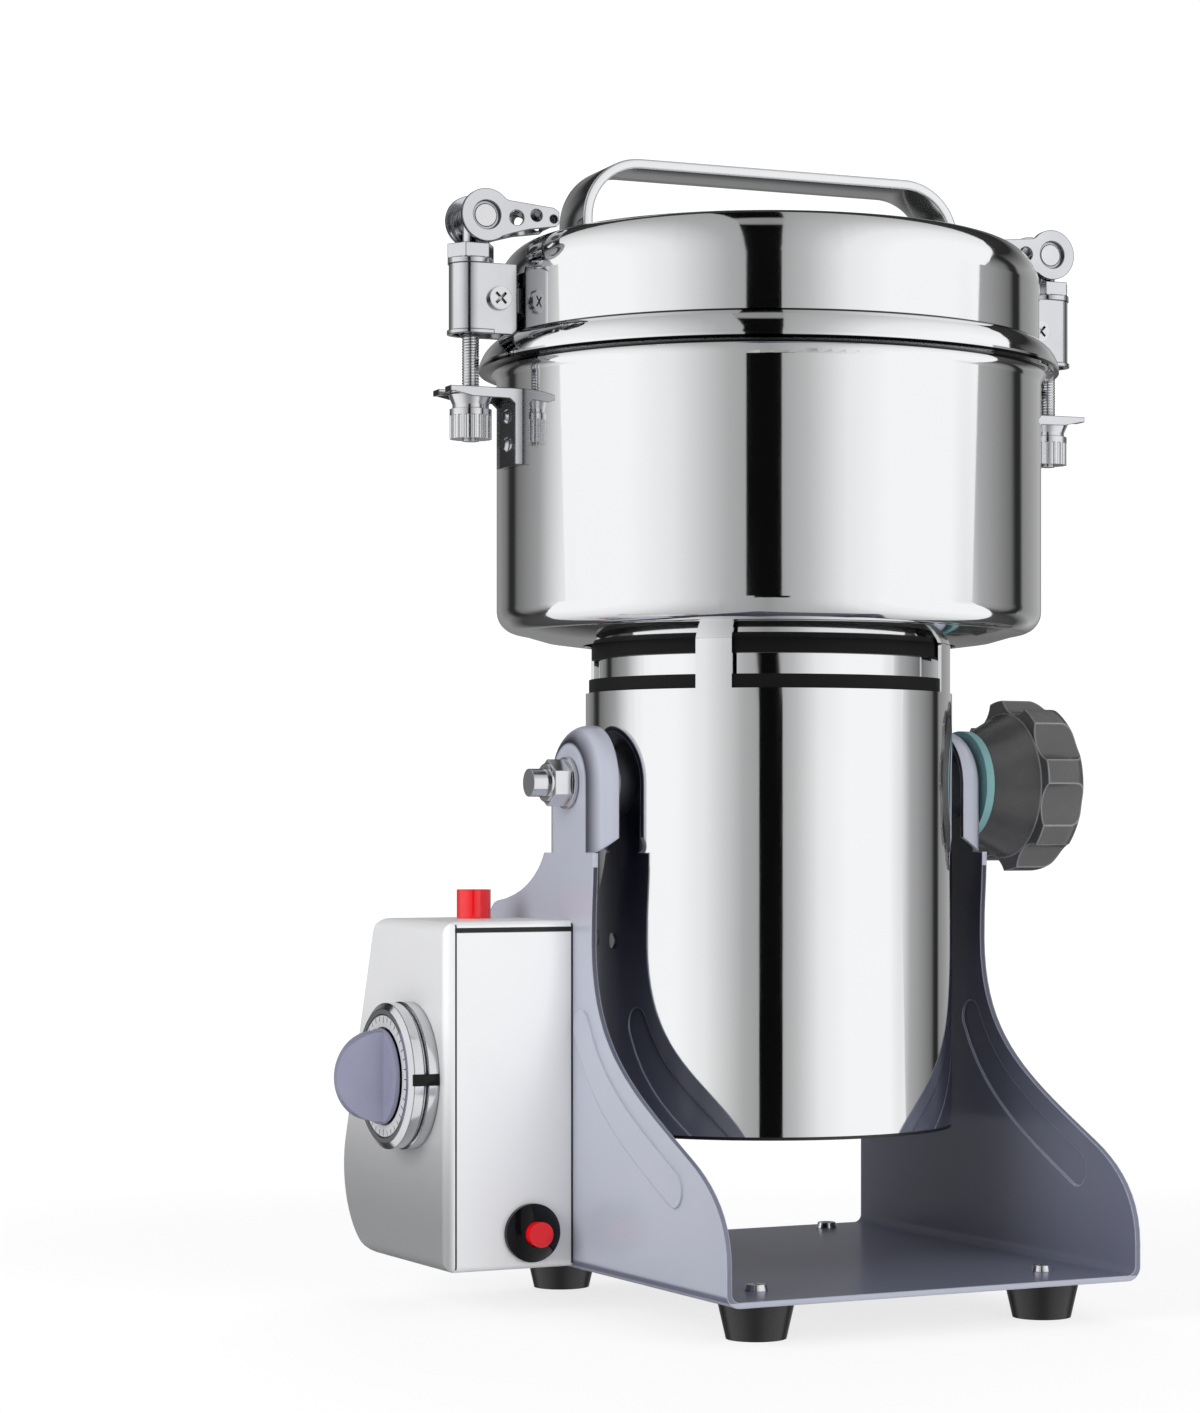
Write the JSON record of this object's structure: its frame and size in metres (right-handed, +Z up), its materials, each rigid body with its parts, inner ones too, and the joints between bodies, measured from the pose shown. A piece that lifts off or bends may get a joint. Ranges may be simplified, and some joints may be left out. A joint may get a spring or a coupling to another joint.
{
  "type": "electric grain mill",
  "caption": "Tilting electric grain mill: a steel grinding pot with a latched, handled lid on an upright motor barrel, carried by a bent sheet frame with a timer box.",
  "frame": {"origin": "on the table at the centre of the overall footprint", "axes": "+Z up, +X towards the star knob, -Y towards the front that the pot pours over"},
  "size_m": [0.2858, 0.229, 0.412],
  "materials": {
    "grey_paint": "satin lavender-grey enamel",
    "black_rubber": "matte moulded rubber",
    "neck_rubber": "smooth black rubber",
    "screw_zinc": "bright zinc plate",
    "box_steel": "bright stainless sheet",
    "barrel_steel": "mirror-polished stainless tube",
    "pot_steel": "mirror-polished stainless",
    "lid_steel": "mirror-polished stainless",
    "handle_steel": "polished stainless strap",
    "neck_steel": "polished turned steel",
    "latch_steel": "bright plating",
    "bolt_steel": "bright turned steel",
    "blade_steel": "ground stainless",
    "bearing_steel": "ground bearing steel",
    "dial_chrome": "chromed dial",
    "grip_plastic": "fine matte lavender-grey",
    "knob_plastic": "fine-grained dark grey",
    "black_plastic": "matte black",
    "cap_plastic": "glossy black",
    "red_plastic": "glossy red",
    "inner_plastic": "natural nylon",
    "washer_fibre": "teal-grey fibre",
    "cast_aluminium": "as cast",
    "lamination": "varnished steel laminations",
    "copper": "enamelled copper",
    "brass_parts": "bright brass",
    "carbon": "pressed carbon",
    "seal_silicone": "translucent white silicone"
  },
  "bodies": {
    "base": {"base_frame": "grey_paint", "feet": "black_rubber", "foot_screws": "screw_zinc", "box_cover": "box_steel", "box_screws": "screw_zinc", "timer_movement": "inner_plastic", "timer_dial": "dial_chrome", "start_switch": "black_plastic", "breaker_body": "black_plastic", "breaker_cap": "cap_plastic", "cord_gland": "black_plastic"},
    "washer": {"friction_washer": "washer_fibre"},
    "knob": {"star_knob": "knob_plastic"},
    "timer": {"timer_knob": "grip_plastic"},
    "start": {"start_button": "red_plastic"},
    "reset": {"reset_button": "red_plastic"},
    "head": {"motor_barrel": "barrel_steel", "bottom_cover": "black_plastic", "trunnion_bosses": "cast_aluminium", "left_tilt_bolt": "bolt_steel", "left_tilt_nut": "bolt_steel", "clamp_stud": "bolt_steel", "lower_bracket": "cast_aluminium", "upper_bracket": "cast_aluminium", "stator_core": "lamination", "field_coils": "copper", "stator_bolts": "screw_zinc", "brush_holders": "brass_parts", "carbon_brushes": "carbon", "ball_bearings": "bearing_steel", "neck_base": "neck_rubber", "neck_ring": "neck_steel", "neck_gasket": "neck_rubber", "pot": "pot_steel", "shaft_seal": "black_rubber", "lid_shell": "lid_steel", "lid_seal": "seal_silicone", "lid_handle": "handle_steel", "lid_lugs": "latch_steel", "latch_brackets": "latch_steel", "latch_screws": "bolt_steel", "latch_caps": "latch_steel", "latch_forks": "latch_steel", "fork_rivets": "latch_steel"},
    "rotor": {"rotor_shaft": "bolt_steel", "armature": "lamination", "commutator": "copper", "cooling_fan": "inner_plastic", "lower_blade": "blade_steel", "upper_blade": "blade_steel", "blade_nut": "bolt_steel"},
    "rod_left": {"latch_rod_left": "bolt_steel", "lever_pin_left": "bolt_steel"},
    "rod_right": {"latch_rod_right": "bolt_steel", "lever_pin_right": "bolt_steel"},
    "lever_left": {"latch_lever_left": "latch_steel"},
    "lever_right": {"latch_lever_right": "latch_steel"},
    "nut_left": {"latch_nut_left": "bolt_steel"},
    "nut_right": {"latch_nut_right": "bolt_steel"}
  },
  "joints": [
    {"name": "head_tilt", "type": "hinge", "parent": "base", "child": "head", "pos_m": [0.01625, 0.008, 0.188], "axis": [1, 0, 0], "range_deg": [-45, 100]},
    {"name": "washer_slide", "type": "slide", "parent": "head", "child": "washer", "axis": [1, 0, 0], "range_m": [0, 0.00126]},
    {"name": "knob_turn", "type": "hinge", "parent": "washer", "child": "knob", "pos_m": [0.09765, 0.008, 0.188], "axis": [1, 0, 0], "range_deg": [0, 360]},
    {"name": "timer_turn", "type": "hinge", "parent": "base", "child": "timer", "pos_m": [-0.11415, 0.036, 0.0834], "axis": [1, 0, 0], "range_deg": [0, 300]},
    {"name": "start_press", "type": "slide", "parent": "base", "child": "start", "axis": [0, 0, -1], "range_m": [0, 0.003], "stiffness_N_per_m": 400, "springref_m": -0.001},
    {"name": "reset_press", "type": "slide", "parent": "base", "child": "reset", "axis": [0, 1, 0], "range_m": [0, 0.002], "stiffness_N_per_m": 500, "springref_m": -0.001},
    {"name": "rotor_spin", "type": "hinge", "parent": "head", "child": "rotor", "pos_m": [0.01625, 0.008, 0.188], "axis": [0, 0, 1], "continuous": true},
    {"name": "latch_left_drop", "type": "slide", "parent": "head", "child": "rod_left", "axis": [0, 0, -1], "range_m": [0, 0.0035]},
    {"name": "latch_left_open", "type": "hinge", "parent": "rod_left", "child": "lever_left", "pos_m": [-0.09607, 0.01723, 0.3887], "axis": [-0.0819, -0.9966, 0], "range_deg": [0, 150]},
    {"name": "nut_left_turn", "type": "hinge", "parent": "rod_left", "child": "nut_left", "pos_m": [-0.09896, 0.01747, 0.319], "axis": [0, 0, 1], "continuous": true},
    {"name": "latch_right_drop", "type": "slide", "parent": "head", "child": "rod_right", "axis": [0, 0, -1], "range_m": [0, 0.0035]},
    {"name": "latch_right_open", "type": "hinge", "parent": "rod_right", "child": "lever_right", "pos_m": [0.12857, -0.00123, 0.3887], "axis": [0.0819, 0.9966, 0], "range_deg": [0, 150]},
    {"name": "nut_right_turn", "type": "hinge", "parent": "rod_right", "child": "nut_right", "pos_m": [0.13146, -0.00147, 0.319], "axis": [0, 0, 1], "continuous": true}
  ],
  "couplings": [
    {"joint": "washer_slide", "follows": "knob_turn", "m_per_rad": 0.000199},
    {"joint": "latch_left_open", "follows": "latch_left_drop", "rad_per_m": 747.9},
    {"joint": "latch_right_open", "follows": "latch_right_drop", "rad_per_m": 747.9}
  ]
}
